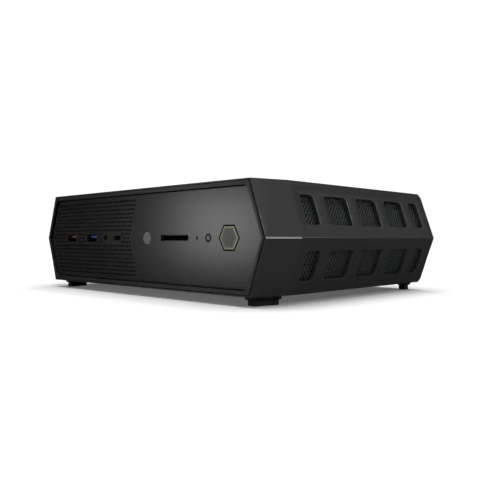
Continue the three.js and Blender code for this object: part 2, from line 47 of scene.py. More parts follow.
MID = (HOUSING_LOW[2] + HOUSING_HIGH[2]) / 2
HALF_WIDTH = HOUSING_HIGH[0]
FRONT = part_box("front_bezel")[0][1]
LEAN = 0.35  # how far a side leans in for each unit of height away from its ridge
NOSE_INSET = 5.8 * MM  # how far each side is drawn in at the very front
NOSE_END = FRONT + 23 * MM

CAMERA_PLACE = (303.7 * MM, FRONT - 215.6 * MM, MID - 0.66 * MM)
CAMERA_TILT = 89.912  # degrees up from looking straight down
CAMERA_TURN = 44.486  # degrees round the upright axis
CAMERA_LENS = 44.43
FLOOR_GLOW = 0.11  # keeps the shadow under the machine from going black
GLOW_STARTS = 0.15  # how far out the floor begins to glow more
GLOW_FULL = 0.95  # how far out it glows as much as it can


# ---- scene: camera, lights, floor ----
def make_camera():
    data = bpy.data.cameras.new("camera")
    data.lens = CAMERA_LENS
    data.sensor_width = 36
    data.clip_start = 0.005
    camera = bpy.data.objects.new("camera", data)
    camera.location = CAMERA_PLACE
    camera.rotation_euler = (math.radians(CAMERA_TILT), 0, math.radians(CAMERA_TURN))
    bpy.context.collection.objects.link(camera)
    bpy.context.scene.camera = camera


def softbox(name, place, target, width, height, power):
    """A rectangular lamp that faces its target and isn't seen itself."""
    data = bpy.data.lights.new(name, "AREA")
    data.shape = "RECTANGLE"
    data.size = width
    data.size_y = height
    data.energy = power
    lamp = bpy.data.objects.new(name, data)
    lamp.location = place
    aim = Vector(target) - Vector(place)
    lamp.rotation_euler = aim.to_track_quat("-Z", "Y").to_euler()
    lamp.visible_camera = False
    bpy.context.collection.objects.link(lamp)


def make_lights():
    """A big light overhead, a small one that puts the soft glow on the fascia, one that catches the rear
    edges of the side windows, and two for the right side."""
    centre = (0, 0, MID)
    softbox("overhead_softbox", (0, 0, MID + 1.4), centre, 1.6, 1.6, 29)
    softbox("front_softbox", (-0.158, -0.3165, MID + 0.015), (0.07, FRONT, MID), 0.09, 0.07, 0.108)
    softbox("window_edge_softbox", (1.11, -0.70, MID + 0.61), centre, 0.12, 0.30, 3.0)
    softbox("right_softbox", (1.264, 0.11, MID + 0.592), centre, 0.6, 0.6, 1.17)
    softbox("rear_right_softbox", (1.036, 0.869, MID + 0.362), centre, 0.6, 0.6, 1.29)


def make_world():
    """A dim room, so that the left and back sides are not lost in black from other views."""
    world = bpy.data.worlds.new("studio")
    bpy.context.scene.world = world
    world.use_nodes = True
    sky = world.node_tree.nodes["Background"]
    sky.inputs["Color"].default_value = (0.9, 0.95, 1.0, 1)
    sky.inputs["Strength"].default_value = 0.012


def glow_outwards(finish):
    """Lets the floor glow a little near the machine and fully far out, to meet the white backdrop."""
    nodes, links = finish.node_tree.nodes, finish.node_tree.links
    shader = nodes["Principled BSDF"]
    place = nodes.new("ShaderNodeNewGeometry")
    distance = nodes.new("ShaderNodeVectorMath")
    distance.operation = "LENGTH"
    glow = nodes.new("ShaderNodeMapRange")
    glow.inputs["From Min"].default_value = GLOW_STARTS
    glow.inputs["From Max"].default_value = GLOW_FULL
    glow.inputs["To Min"].default_value = FLOOR_GLOW
    glow.inputs["To Max"].default_value = 1.0
    links.new(place.outputs["Position"], distance.inputs[0])
    links.new(distance.outputs["Value"], glow.inputs["Value"])
    links.new(glow.outputs["Result"], shader.inputs["Emission Strength"])
    shader.inputs["Emission Color"].default_value = (1, 1, 1, 1)


def emission(name, strength):
    """A plain white glowing finish."""
    glow = bpy.data.materials.new(name)
    glow.use_nodes = True
    nodes, links = glow.node_tree.nodes, glow.node_tree.links
    nodes.clear()
    shader = nodes.new("ShaderNodeEmission")
    shader.inputs["Color"].default_value = (1, 1, 1, 1)
    shader.inputs["Strength"].default_value = strength
    output = nodes.new("ShaderNodeOutputMaterial")
    links.new(shader.outputs[0], output.inputs["Surface"])
    return glow


def make_stage():
    """A pale round floor, and all round it a white ball that only the camera sees."""
    bpy.ops.mesh.primitive_circle_add(vertices=96, radius=9, fill_type="NGON", location=(0, 0, 0))
    floor = bpy.context.object
    floor.name = "studio_floor"
    floor.visible_glossy = False
    white = satin("floor_white", (0.9, 0.9, 0.9), 0.9, grain=0.0, mottle=0.01)
    glow_outwards(white)
    floor.data.materials.append(white)
    bpy.ops.mesh.primitive_uv_sphere_add(segments=48, ring_count=24, radius=9.5)
    backdrop = bpy.context.object
    backdrop.name = "studio_backdrop"
    backdrop.data.materials.append(emission("backdrop_white", 1.05))
    backdrop.visible_glossy = False
    backdrop.visible_diffuse = False
    backdrop.visible_shadow = False
    backdrop.visible_transmission = False


# ---- materials ----
def satin(name, color, roughness, metallic=0.0, grain=0.04, grain_size=0.35, mottle=0.10, specular=0.5):
    """A moulded, coated or metal surface: fine grain as bump, and slow changes of tone and gloss.
    grain_size is in millimetres."""
    finish = bpy.data.materials.new(name)
    finish.use_nodes = True
    nodes, links = finish.node_tree.nodes, finish.node_tree.links
    shader = nodes["Principled BSDF"]
    shader.inputs["Metallic"].default_value = metallic
    shader.inputs["Specular IOR Level"].default_value = specular
    place = nodes.new("ShaderNodeTexCoord")
    cloud = nodes.new("ShaderNodeTexNoise")
    cloud.inputs["Scale"].default_value = 45
    cloud.inputs["Detail"].default_value = 5
    links.new(place.outputs["Object"], cloud.inputs["Vector"])
    tone = nodes.new("ShaderNodeMapRange")
    tone.inputs["To Min"].default_value = 1 - mottle
    tone.inputs["To Max"].default_value = 1 + mottle
    links.new(cloud.outputs["Fac"], tone.inputs["Value"])
    tint = nodes.new("ShaderNodeVectorMath")
    tint.operation = "SCALE"
    tint.inputs[0].default_value = color
    links.new(tone.outputs["Result"], tint.inputs["Scale"])
    links.new(tint.outputs[0], shader.inputs["Base Color"])
    speck = nodes.new("ShaderNodeTexNoise")
    speck.inputs["Scale"].default_value = 1 / (grain_size * MM)
    speck.inputs["Detail"].default_value = 2
    links.new(place.outputs["Object"], speck.inputs["Vector"])
    gloss = nodes.new("ShaderNodeMapRange")
    gloss.inputs["To Min"].default_value = max(0.02, roughness - 0.06)
    gloss.inputs["To Max"].default_value = min(1.0, roughness + 0.06)
    links.new(speck.outputs["Fac"], gloss.inputs["Value"])
    links.new(gloss.outputs["Result"], shader.inputs["Roughness"])
    if grain:
        bump = nodes.new("ShaderNodeBump")
        bump.inputs["Strength"].default_value = grain
        bump.inputs["Distance"].default_value = 0.2 * MM
        links.new(speck.outputs["Fac"], bump.inputs["Height"])
        links.new(bump.outputs["Normal"], shader.inputs["Normal"])
    return finish


def brushed(name, color, roughness, along="X", streak=0.25):
    """Metal or lacquer with fine straight brush lines along one axis."""
    finish = satin(name, color, roughness, metallic=0.8, grain=0.0)
    nodes, links = finish.node_tree.nodes, finish.node_tree.links
    shader = nodes["Principled BSDF"]
    place = nodes.new("ShaderNodeTexCoord")
    stretch = nodes.new("ShaderNodeMapping")
    stretch.inputs["Scale"].default_value = [0.03 if axis == along else 1.0 for axis in "XYZ"]
    lines = nodes.new("ShaderNodeTexNoise")
    lines.inputs["Scale"].default_value = 1 / (0.25 * MM)
    links.new(place.outputs["Object"], stretch.inputs["Vector"])
    links.new(stretch.outputs["Vector"], lines.inputs["Vector"])
    bump = nodes.new("ShaderNodeBump")
    bump.inputs["Strength"].default_value = streak
    bump.inputs["Distance"].default_value = 0.05 * MM
    links.new(lines.outputs["Fac"], bump.inputs["Height"])
    links.new(bump.outputs["Normal"], shader.inputs["Normal"])
    return finish


def dark_behind(finish, depth):
    """Turns a finish nearly black behind a depth, as in the shade of a narrow gap."""
    nodes, links = finish.node_tree.nodes, finish.node_tree.links
    shader = nodes["Principled BSDF"]
    place = nodes.new("ShaderNodeNewGeometry")
    split = nodes.new("ShaderNodeSeparateXYZ")
    links.new(place.outputs["Position"], split.inputs[0])
    shade = nodes.new("ShaderNodeMapRange")
    shade.inputs["From Min"].default_value = depth
    shade.inputs["From Max"].default_value = depth + 0.2 * MM
    shade.inputs["To Min"].default_value = 1
    shade.inputs["To Max"].default_value = 0.05
    links.new(split.outputs["Y"], shade.inputs["Value"])
    scaled = nodes.new("ShaderNodeVectorMath")
    scaled.operation = "SCALE"
    links.new(shader.inputs["Base Color"].links[0].from_socket, scaled.inputs[0])
    links.new(shade.outputs["Result"], scaled.inputs["Scale"])
    links.new(scaled.outputs[0], shader.inputs["Base Color"])
    return finish


MATERIALS = {
    "shell": satin("shell_satin", (0.022, 0.022, 0.0225), 0.44, grain=0.10, grain_size=0.3),
    # edge finish of the side shells: glossier, and lighter than the shell as a painted highlight along
    # every rounded edge
    "shell_edge": satin("shell_edge_glossy_painted_highlight", (0.036, 0.036, 0.036), 0.20, grain=0.03, specular=0.8),
    "bezel": dark_behind(
        satin("bezel_satin", (0.016, 0.016, 0.0163), 0.42, grain=0.08, grain_size=0.3, specular=0.4),
        FRONT + 0.7 * MM,
    ),
    "fascia": satin("fascia_satin", (0.014, 0.014, 0.014), 0.28, grain=0.05, grain_size=0.25),
    "grille": satin("grille_satin", (0.0135, 0.0136, 0.0137), 0.31, grain=0.08, grain_size=0.3),
    "badge": satin("badge_grey", (0.10, 0.10, 0.102), 0.42, grain=0.05, specular=0.4),
    "button": brushed("button_cap", (0.10, 0.10, 0.09), 0.42),
    # the button's chamfer: a painted highlight, bright and yellowish
    "button_chamfer_painted_highlight": satin("button_chamfer_painted_highlight", (0.25, 0.245, 0.175), 0.40, grain=0.0, specular=0.3),
    # the button's ribs: darker than the cap, as painted shade of fine grooves
    "button_rib": satin("button_rib", (0.05, 0.05, 0.047), 0.5, grain=0.0, specular=0.3),
    "ring": satin("ring_black", (0.003, 0.003, 0.003), 0.6, grain=0.0, specular=0.12),
    # nearly black with no sheen: painted shade, for the backs and walls of the grille's holes, the
    # grille's edges at the seam and the button's carrier seen through its gap
    "hole": satin("black_painted_shade", (0.001, 0.001, 0.001), 0.9, grain=0.0, specular=0.0),
    # the ridge strips' light grey is a painted highlight along the nose ridge
    "ridge": satin("ridge_painted_highlight_strip", (0.42, 0.42, 0.42), 0.30, metallic=0.4, grain=0.0),
    "mesh": satin("mesh_coat", (0.062, 0.072, 0.069), 0.42, metallic=0.3, grain=0.1),
    # the black sheet behind the side meshes is painted shade, so that their holes read dark
    "felt": satin("sheet_black_painted_shade", (0.004, 0.004, 0.004), 0.95, grain=0.4, grain_size=0.4, specular=0.1),
    "rubber": satin("foot_rubber", (0.010, 0.010, 0.011), 0.75, grain=0.3, grain_size=0.5),
    "dark_steel": satin(
        "dark_steel", (0.022, 0.022, 0.024), 0.42, metallic=0.2, grain=0.25, grain_size=0.6
    ),
    "steel": brushed("plated_steel", (0.52, 0.53, 0.54), 0.30),
    "contact": satin("contact_plastic", (0.02, 0.02, 0.022), 0.5, grain=0.1),
    "board": satin("solder_mask", (0.01, 0.03, 0.02), 0.35, grain=0.2, grain_size=1.2),
    "chip": satin("moulded_chip", (0.02, 0.02, 0.022), 0.5, grain=0.15),
    "copper": brushed("bright_copper", (0.62, 0.27, 0.13), 0.28),
    "aluminium": brushed("bare_aluminium", (0.62, 0.63, 0.64), 0.32, along="Z"),
    "fan": satin("fan_plastic", (0.014, 0.014, 0.015), 0.5, grain=0.1),
    "lens": satin("milky_lens", (0.03, 0.03, 0.032), 0.33, grain=0.0),
    "gold": satin("gold_contacts", (0.75, 0.52, 0.2), 0.3, metallic=1.0, grain=0.0),
    "tongue_amber": satin("tongue_amber", (0.14, 0.08, 0.04), 0.45, grain=0.05),
    "tongue_blue": satin("tongue_blue", (0.03, 0.07, 0.22), 0.45, grain=0.05),
    "port_shell": brushed("port_shell", (0.03, 0.03, 0.024), 0.4),
    "port_shell_blue": brushed("port_shell_blue", (0.02, 0.016, 0.09), 0.4),
    "black": satin("socket_black", (0.008, 0.008, 0.009), 0.5, grain=0.05),
}

# The finish of each CAD node, by the beginning of its name.
NODE_FINISH = {
    "side_shell": "shell",
    "top_cover": "shell",
    "bottom_cover": "shell",
    "front_bezel": "bezel",
    "front_fascia": "fascia",
    "port_grille": "grille",
    "rear_panel": "dark_steel",
    "side_mesh": "mesh",
    "foot": "rubber",
    "cover_screw": "dark_steel",
    "power_button": "button",
    "power_switch": "chip",
    "hex_badge": "badge",
    "status_lens": "lens",
    "activity_lens": "lens",
    "usb": "steel",
    "headset_jack": "contact",
    "card_reader": "black",
    "front_board": "board",
    "main_board": "board",
    "ethernet_jack": "steel",
    "power_inlet": "contact",
    "hdmi_port": "steel",
    "display_port": "steel",
    "processor": "chip",
    "graphics_chip": "chip",
    "heat": "copper",
    "fin_stack": "aluminium",
    "blower_housing": "fan",
    "fan_rotor": "fan",
    "fan_stator": "copper",
    "memory_socket": "contact",
    "memory_module": "board",
    "solid_state_drive": "board",
    "wireless_card": "steel",
    "coin_cell": "steel",
}


def paint_cad_nodes():
    """Gives every CAD node its finish. The ones that a piece replaces aren't seen."""
    for name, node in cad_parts.items():
        stem = next(stem for stem in NODE_FINISH if name.startswith(stem))
        for slot in node.material_slots:
            slot.material = MATERIALS[NODE_FINISH[stem]]


# ---- mesh helpers ----
def new_piece(name, mesh, finish, body="base"):
    piece = bpy.data.objects.new(name, mesh)
    bpy.context.collection.objects.link(piece)
    finishes = [finish] if isinstance(finish, str) else finish
    for one in finishes:
        mesh.materials.append(MATERIALS[one])
    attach(piece, body)
    return piece


def mesh_from(shape, name):
    bmesh.ops.recalc_face_normals(shape, faces=shape.faces)
    mesh = bpy.data.meshes.new(name)
    shape.to_mesh(mesh)
    shape.free()
    return mesh


def add_prism(shape, outline, y0, y1, material_index=0):
    """Adds an outline in X and Z, drawn through from y0 to y1, and gives its points at y0."""
    near = [shape.verts.new((x, y0, z)) for x, z in outline]
    far = [shape.verts.new((x, y1, z)) for x, z in outline]
    faces = [shape.faces.new(near), shape.faces.new(list(reversed(far)))]
    for i in range(len(outline)):
        j = (i + 1) % len(outline)
        faces.append(shape.faces.new((near[j], near[i], far[i], far[j])))
    for face in faces:
        face.material_index = material_index
    return near


def add_outlines(shape, places):
    """Adds the points of outlines in X and Z, each at its own Y, and gives one ring of points for each."""
    return [[shape.verts.new((x, y, z)) for x, z in outline] for outline, y in places]


def bridge(shape, first, second, material_index=0):
    """Adds the faces between two rings with equally many points."""
    count = len(first)
    for i in range(count):
        j = (i + 1) % count
        face = shape.faces.new((first[i], first[j], second[j], second[i]))
        face.material_index = material_index


def add_ring(shape, outer, inner, y0, y1):
    """Adds a flat ring between two outlines with equally many points, from y0 to y1."""
    rings = add_outlines(shape, ((outer, y0), (outer, y1), (inner, y1), (inner, y0)))
    for first, second in zip(rings, rings[1:] + rings[:1]):
        bridge(shape, first, second)


def circle(x, z, radius, sides):
    turns = [2 * math.pi * (i + 0.5) / sides for i in range(sides)]
    return [(x + radius * math.cos(turn), z + radius * math.sin(turn)) for turn in turns]


def hexagon(x, z, corner_radius):
    turns = [math.pi * i / 3 for i in range(6)]
    return [(x + corner_radius * math.cos(turn), z + corner_radius * math.sin(turn)) for turn in turns]


def rectangle(x, z, width, height):
    return [
        (x - width / 2, z - height / 2),
        (x + width / 2, z - height / 2),
        (x + width / 2, z + height / 2),
        (x - width / 2, z + height / 2),
    ]


def rounded_rectangle(x, z, width, height, radius, steps=5):
    points = []
    corners = [(1, -1, -90), (1, 1, 0), (-1, 1, 90), (-1, -1, 180)]
    for side, level, start in corners:
        centre_x = x + side * (width / 2 - radius)
        centre_z = z + level * (height / 2 - radius)
        for i in range(steps + 1):
            turn = math.radians(start + 90 * i / steps)
            points.append((centre_x + radius * math.cos(turn), centre_z + radius * math.sin(turn)))
    return points


def applied(piece):
    """Replaces a piece's mesh by what its modifiers make of it."""
    graph = bpy.context.evaluated_depsgraph_get()
    mesh = bpy.data.meshes.new_from_object(piece.evaluated_get(graph))
    piece.modifiers.clear()
    piece.data = mesh


def carve(piece, cutter_shape):
    """Cuts closed solids, given as one bmesh, out of a piece."""
    mesh = mesh_from(cutter_shape, "cutter")
    for material in piece.data.materials:
        mesh.materials.append(material)
    cutter = bpy.data.objects.new("cutter", mesh)
    bpy.context.collection.objects.link(cutter)
    cut = piece.modifiers.new("carve", "BOOLEAN")
    cut.operation = "DIFFERENCE"
    cut.solver = "MANIFOLD"
    cut.object = cutter
    applied(piece)
    bpy.data.objects.remove(cutter)


def join_flat_faces(piece):
    """Welds a CAD mesh by modifiers and joins its flat triangles, so that edges can be rounded."""
    weld = piece.modifiers.new("weld", "WELD")
    weld.merge_threshold = 0.002 * MM
    flat = piece.modifiers.new("join_flat_faces", "DECIMATE")
    flat.decimate_type = "DISSOLVE"
    flat.angle_limit = math.radians(0.6)


def add_bevel(piece, width, angle=32, segments=2):
    """Rounds the edges sharper than an angle in degrees, by a width in millimetres."""
    bevel = piece.modifiers.new("soft_edges", "BEVEL")
    bevel.width = width * MM
    bevel.segments = segments
    bevel.limit_method = "ANGLE"
    bevel.angle_limit = math.radians(angle)
    return bevel


def soften(name, width, angle=32):
    """Rounds the sharp edges of a CAD node that stays as it is otherwise."""
    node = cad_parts[name]
    join_flat_faces(node)
    add_bevel(node, width, angle)


# ---- the front ----
RECESS_HALF_HEIGHT = 27.1 * MM
RECESS_HALF_WIDTH = 96.6 * MM  # along its top and bottom edges
RECESS_LEAN = 0.37  # how much wider it gets for each unit of height towards its middle
PLATE_HALF_HEIGHT = 26.4 * MM
CHEVRON_X = -5.6 * MM  # the seam's point
CHEVRON_SLOPE = 0.31  # how far the seam runs to the right for each unit up or down
HOLE_ROWS = 9  # above and below the middle row
HOLE_ROW_PITCH = 2.59 * MM
HOLE_PITCH = 2.65 * MM
HOLE_RADIUS = 0.80 * MM
HOLE_LAST_X = -8.85 * MM  # the middle row's last hole
HOLE_SHIFT = 0.80 * MM  # how far each row out from the middle begins to the right
HOLE_EDGE_ROOM = 3.0 * MM  # no hole's centre is nearer than this to the recess's left edge
USB_ROOM = 8.2 * MM  # nor, in the three middle rows, nearer than this to a USB socket's middle
HEADSET_ROOM = 4.4 * MM  # the plain field begins this far left of the headset socket's middle
USB_C_ROOM = 5.2 * MM  # and ends this far right of the USB-C one's
SHADE_FILM = 0.2 * MM  # how much of the panel's depth is left behind a vent hole, as a black film of painted shade
SEAM_GAP = 0.38 * MM  # how far the panel stays back from the line of the pointed seam


def recess_half_width(height):
    return RECESS_HALF_WIDTH + RECESS_LEAN * (RECESS_HALF_HEIGHT - abs(height))


def grille_outline():
    """The port panel's edge: the recess's left part, up to the pointed seam."""
    inset = 0.15 * MM
    high = PLATE_HALF_HEIGHT
    corner = 1.8 * MM
    slant = math.hypot(1, RECESS_LEAN) * inset
    left = [
        (-recess_half_width(high) + slant + corner, high),
        (-recess_half_width(high - corner) + slant, high - corner),
        (-recess_half_width(0) + slant, 0),
        (-recess_half_width(high - corner) + slant, corner - high),
        (-recess_half_width(high) + slant + corner, -high),
    ]
    seam_x = CHEVRON_X - SEAM_GAP
    seam = [(seam_x + CHEVRON_SLOPE * abs(z), z) for z in (-high, 0, high)]
    return [(x, MID + z) for x, z in left + seam]


def centre_of(node):
    low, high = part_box(node)
    return (low[0] + high[0]) / 2, (low[2] + high[2]) / 2


def ports_on_grille():
    usb = [centre_of("usb_port_front_1")[0], centre_of("usb_port_front_2")[0]]
    return usb, centre_of("headset_jack")[0], centre_of("usb_c_port_front")[0]


def hole_is_clear(x, row):
    """Whether a vent hole may be made here, or a socket or the plain field round one is in its way."""
    if abs(row) > 1:
        return True
    usb, headset, usb_c = ports_on_grille()
    if any(abs(x - port) < USB_ROOM for port in usb):
        return False
    return not headset - HEADSET_ROOM < x < usb_c + USB_C_ROOM


def vent_holes():
    places = []
    for row in range(-HOLE_ROWS, HOLE_ROWS + 1):
        z = row * HOLE_ROW_PITCH
        x = HOLE_LAST_X + HOLE_SHIFT * abs(row)
        while x > -recess_half_width(z) + HOLE_EDGE_ROOM:
            if hole_is_clear(x, row):
                places.append((x, MID + z))
            x -= HOLE_PITCH
    return places


def make_grille():
    """The perforated panel. Its holes end on a thin black film, painted shade for the dark inside behind
    the panel.
    """
    low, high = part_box("port_grille")
    shape = bmesh.new()
    add_prism(shape, grille_outline(), low[1], high[1])
    for face in shape.faces:  # painted shade: black edges, so that the seam beside the panel reads as a dark gap
        face.normal_update()
        face.material_index = 0 if abs(face.normal.y) > 0.5 else 1
    mesh = mesh_from(shape, "vented_port_panel")
    piece = new_piece("vented_port_panel", mesh, ["grille", "hole"])
    through = (low[1] - MM, high[1] + MM)
    to_shade_film = (low[1] - MM, high[1] - SHADE_FILM)
    cutter = bmesh.new()
    for x, z in vent_holes():
        add_prism(cutter, circle(x, z, HOLE_RADIUS, 10), *to_shade_film, 1)
    usb, headset, usb_c = ports_on_grille()
    for x in usb:
        add_prism(cutter, rounded_rectangle(x, MID, 12.6 * MM, 5.2 * MM, 0.4 * MM), *through)
    add_prism(cutter, circle(headset, MID, 1.9 * MM, 28), *through)
    add_prism(cutter, rounded_rectangle(usb_c, MID, 8.7 * MM, 3.1 * MM, 1.5 * MM, 7), *through)
    carve(piece, cutter)
    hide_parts("port_grille")


def make_power_button():
    """A hexagonal cap with fine ribs and a chamfer, on a carrier with a flange and a stem. The chamfer is
    painted bright as a highlight, the ribs darker as painted shade, and the carrier black as painted shade
    in the gap round the cap.
    """
    low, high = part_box("power_button")
    x, z = centre_of("power_button")
    face = low[1]
    cap_radius = 7.0 * MM
    chamfer = 0.95 * MM
    rib_pitch = 0.95 * MM
    middle_rib = 7.2 * MM
    flange_radius = 8.6 * MM
    flange_back = high[1] - 3.3 * MM
    stem_radius = 1.6 * MM
    shape = bmesh.new()
    near = add_prism(shape, hexagon(x, z, cap_radius), face + 0.22 * MM, face + 1.4 * MM, 2)
    rim_face = next(one for one in shape.faces if set(near) == set(one.verts))
    shape.faces.remove(rim_face)
    top = [shape.verts.new((px, face, pz)) for px, pz in hexagon(x, z, cap_radius - chamfer)]
    shape.faces.new(top)
    bridge(shape, near, top, 1)
    for i in range(-4, 5):
        rib = rectangle(x, z + i * rib_pitch, middle_rib - 0.5 * MM * abs(i), 0.42 * MM)
        add_prism(shape, rib, face - 0.06 * MM, face + 0.1 * MM, 3)
    add_prism(shape, hexagon(x, z, cap_radius - 0.1 * MM), face + 1.3 * MM, flange_back - 0.8 * MM, 2)
    add_prism(shape, hexagon(x, z, flange_radius), flange_back - 0.9 * MM, flange_back, 2)
    add_prism(shape, circle(x, z, stem_radius, 24), flange_back, high[1], 2)
    mesh = mesh_from(shape, "power_button_cap")
    finishes = ["button", "button_chamfer_painted_highlight", "hole", "button_rib"]
    piece = new_piece("power_button_cap", mesh, finishes, "button")
    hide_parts("power_button")


def make_light_rings():
    """Black rings round the two lights of the front."""
    for node, outer, inner in (("status_lens", 2.36, 1.5), ("activity_lens", 1.0, 0.42)):
        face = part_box(node)[0][1] - 0.05 * MM
        x, z = centre_of(node)
        shape = bmesh.new()
        outline, opening = (circle(x, z, radius * MM, 32) for radius in (outer, inner))
        add_ring(shape, outline, opening, face, face + 0.3 * MM)
        new_piece(node + "_ring", mesh_from(shape, node), "ring")


def make_ridge_strips():
    """A slim strip along the ridge of each side of the nose, light grey as a painted highlight."""
    half_height = 0.42 * MM
    proud = 0.06 * MM
    sunk = 0.35 * MM
    back_end = NOSE_END - 1.1 * MM
    for side, name in ((1, "ridge_strip_right"), (-1, "ridge_strip_left")):
        shape = bmesh.new()
        ends = []
        for y in (FRONT + 0.6 * MM, back_end):
            apex = HALF_WIDTH - NOSE_INSET * (NOSE_END - y) / (NOSE_END - FRONT)
            section = [
                (apex + proud, MID - half_height),
                (apex + proud, MID + half_height),
                (apex - sunk, MID + half_height),
                (apex - sunk, MID - half_height),
            ]
            ends.append([shape.verts.new((side * x, y, z)) for x, z in section])
        near, far = ends
        shape.faces.new(near)
        shape.faces.new(far)
        bridge(shape, near, far)
        piece = new_piece(name, mesh_from(shape, name), "ridge")
        add_bevel(piece, 0.08)


# ---- side meshes ----
MESH_PITCH = 2.76 * MM  # from one hole to the next along a row
MESH_HOLE = 0.79  # a hole's size as a part of its cell
MESH_THICKNESS = 0.2 * MM
SHEET_DEPTH = 0.55 * MM  # how far the black sheet's ridge lies behind the mesh's
SHEET_THICKNESS = 0.2 * MM
HOLE_BACK_DEPTH = 1.001  # how deep a hole's back edge lies, in thicknesses of the lattice


def lattice_panel(shape, side, level):
    """Woven-look lattice of square holes set on their corners, in the plane behind one leaning face."""
    low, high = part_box("side_mesh_right")
    across = Vector((-LEAN * side, 0, level)).normalized()
    out = Vector((side, 0, LEAN * level)).normalized()
    start = Vector((side * high[0], 0, MID)) - out * 0.05 * MM
    reach = (high[2] - MID) * math.hypot(1, LEAN)
    half = MESH_PITCH / 2
    rows = int(reach / half)
    columns = int((high[1] - low[1]) / MESH_PITCH)
    corners = {}

    def corner(u, v, depth):
        key = (round(u / MM, 3), round(v / MM, 3), depth)
        if key not in corners:
            place = start + across * v - out * depth * MESH_THICKNESS
            corners[key] = shape.verts.new((place.x, low[1] + u, place.z))
        return corners[key]

    for row in range(1, rows):
        for column in range(columns):
            u = (column + 0.5 + 0.5 * (row % 2)) * MESH_PITCH
            v = row * half
            turns = [(half, 0), (0, half), (-half, 0), (0, -half)]
            holes = [(a * MESH_HOLE, b * MESH_HOLE) for a, b in turns]
            outer = [[corner(u + a, v + b, depth) for a, b in turns] for depth in (0, 1)]
            inner = [[corner(u + a, v + b, depth) for a, b in holes] for depth in (0, HOLE_BACK_DEPTH)]
            for i in range(4):
                j = (i + 1) % 4
                shape.faces.new((outer[0][i], outer[0][j], inner[0][j], inner[0][i]))
                shape.faces.new((outer[1][j], outer[1][i], inner[1][i], inner[1][j]))
                shape.faces.new((inner[0][i], inner[0][j], inner[1][j], inner[1][i]))


def make_shade_sheet(side, word):
    """A black sheet just behind the mesh, painted shade so that nothing inside shows through it."""
    low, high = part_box("side_mesh_right")
    near = high[0] - SHEET_DEPTH
    far = near - SHEET_THICKNESS
    reach = high[2] - MID
    outline = [(near - LEAN * abs(z), z) for z in (-reach, 0, reach)]
    outline += [(far - LEAN * abs(z), z) for z in (reach, 0, -reach)]
    shape = bmesh.new()
    add_prism(shape, [(side * x, MID + z) for x, z in outline], low[1], high[1])
    name = "shade_sheet_" + word
    new_piece(name, mesh_from(shape, name), "felt")


def make_side_meshes():
    """A lattice of square holes with a black sheet of painted shade behind it, on each side."""
    for side, word in ((1, "right"), (-1, "left")):
        make_shade_sheet(side, word)
        shape = bmesh.new()
        for level in (1, -1):
            lattice_panel(shape, side, level)
        name = "vent_lattice_" + word
        piece = new_piece(name, mesh_from(shape, name), "mesh")
        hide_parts("side_mesh_" + word)


# ---- sockets ----
SOCKET_BACK = 2.5 * MM  # how thick the closed back of a socket is
TONGUE_ROOT = 0.3 * MM  # how far a tongue runs into that back
TONGUE_TIP = 1.0 * MM  # how far a tongue's tip lies inside the mouth
CONTACTS_START, CONTACTS_END = 0.6 * MM, 6 * MM  # behind the tip
CONTACT_THICKNESS = 0.14 * MM
CONTACT_DROP = 0.06 * MM  # how far the middle of the contacts lies below the tongue's underside


def add_cup(shape, outer, inner, mouth_y, floor_y, back_y):
    """Adds a closed-backed shell: outer and inner outlines with equally many points, open at mouth_y."""
    places = ((outer, back_y), (outer, mouth_y), (inner, mouth_y), (inner, floor_y))
    rings = add_outlines(shape, places)
    for first, second in zip(rings, rings[1:]):
        bridge(shape, first, second)
    shape.faces.new(rings[0])
    shape.faces.new(rings[3])


def add_contacts(shape, x, z, width, count, y0, y1, material_index):
    """A row of thin sprung contacts side by side."""
    pitch = width / count
    for i in range(count):
        middle = x + (i + 0.5 - count / 2) * pitch
        add_prism(shape, rectangle(middle, z, pitch * 0.5, CONTACT_THICKNESS), y0, y1, material_index)


def make_socket(node, shell, mouth, radius, tongue, contacts, toward, finishes, levels=(0,)):
    """A connector that replaces a CAD node: shell, hollow mouth, tongue and contacts.
    shell and mouth are (width, height), tongue is (width, thickness, lift), in millimetres. toward is
    -1 for a mouth at the front and 1 for one at the rear. contacts is how many there are, and levels
    says how far from the node's middle each of the mouths lies."""
    low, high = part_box(node)
    x, z = centre_of(node)
    mouth_y, back_y = (low[1], high[1]) if toward < 0 else (high[1], low[1])
    floor_y = back_y + toward * SOCKET_BACK
    shape = bmesh.new()
    for level in levels:
        middle = z + level * MM
        outer = rounded_rectangle(x, middle, shell[0] * MM, shell[1] * MM, (radius + 0.3) * MM)
        inner = rounded_rectangle(x, middle, mouth[0] * MM, mouth[1] * MM, radius * MM)
        add_cup(shape, outer, inner, mouth_y, floor_y, back_y)
        width, thickness, lift = (value * MM for value in tongue)
        tip_y = mouth_y - toward * TONGUE_TIP
        ends = sorted((tip_y, floor_y - toward * TONGUE_ROOT))
        plate = rounded_rectangle(x, middle + lift, width, thickness, thickness * 0.3, 3)
        add_prism(shape, plate, *ends, 1)
        ends = sorted((tip_y - toward * CONTACTS_START, tip_y - toward * CONTACTS_END))
        under = middle + lift - thickness / 2 - CONTACT_DROP
        add_contacts(shape, x, under, width * 0.8, contacts, *ends, 2)
    piece = new_piece(node + "_socket", mesh_from(shape, node), finishes)
    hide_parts(node)


def make_front_sockets():
    """The amber and the blue USB socket, and the small USB-C one."""
    colors = (("port_shell", "tongue_amber"), ("port_shell_blue", "tongue_blue"))
    for number, (shell, tongue) in enumerate(colors, 1):
        node = "usb_port_front_%d" % number
        finishes = [shell, tongue, "gold"]
        make_socket(node, (13.6, 6.2), (12.5, 5.1), 0.35, (11.2, 1.4, 1.0), 4, -1, finishes)
    finishes = ["port_shell", "black", "gold"]
    make_socket("usb_c_port_front", (9.5, 3.9), (8.4, 2.7), 1.3, (6.7, 0.75, 0), 6, -1, finishes)


